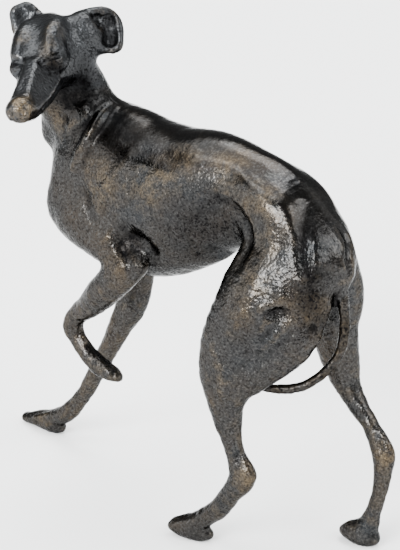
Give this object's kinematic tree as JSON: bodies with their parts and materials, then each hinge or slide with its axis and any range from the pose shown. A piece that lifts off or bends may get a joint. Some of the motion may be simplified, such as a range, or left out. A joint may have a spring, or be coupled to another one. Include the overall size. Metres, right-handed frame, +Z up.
{
  "type": "whippet statue",
  "caption": "Dark cast bronze statue of a standing whippet that lifts a forepaw and looks back over its shoulder, with a thin tail tucked between the hind legs.",
  "frame": {"origin": "on the ground under the middle of the figure's bounding box", "axes": "-X is the way the body faces, -Y is the dog's left side, over which it looks back, and +Z is up"},
  "size_m": [0.243, 0.11, 0.2464],
  "materials": {
    "bronze": "dark brown-black patinated bronze with a glossy lacquer on the back, a pitted cast grain, and copper rub-through on the high points"
  },
  "bodies": {
    "root": {"whippet": "bronze"}
  },
  "joints": []
}
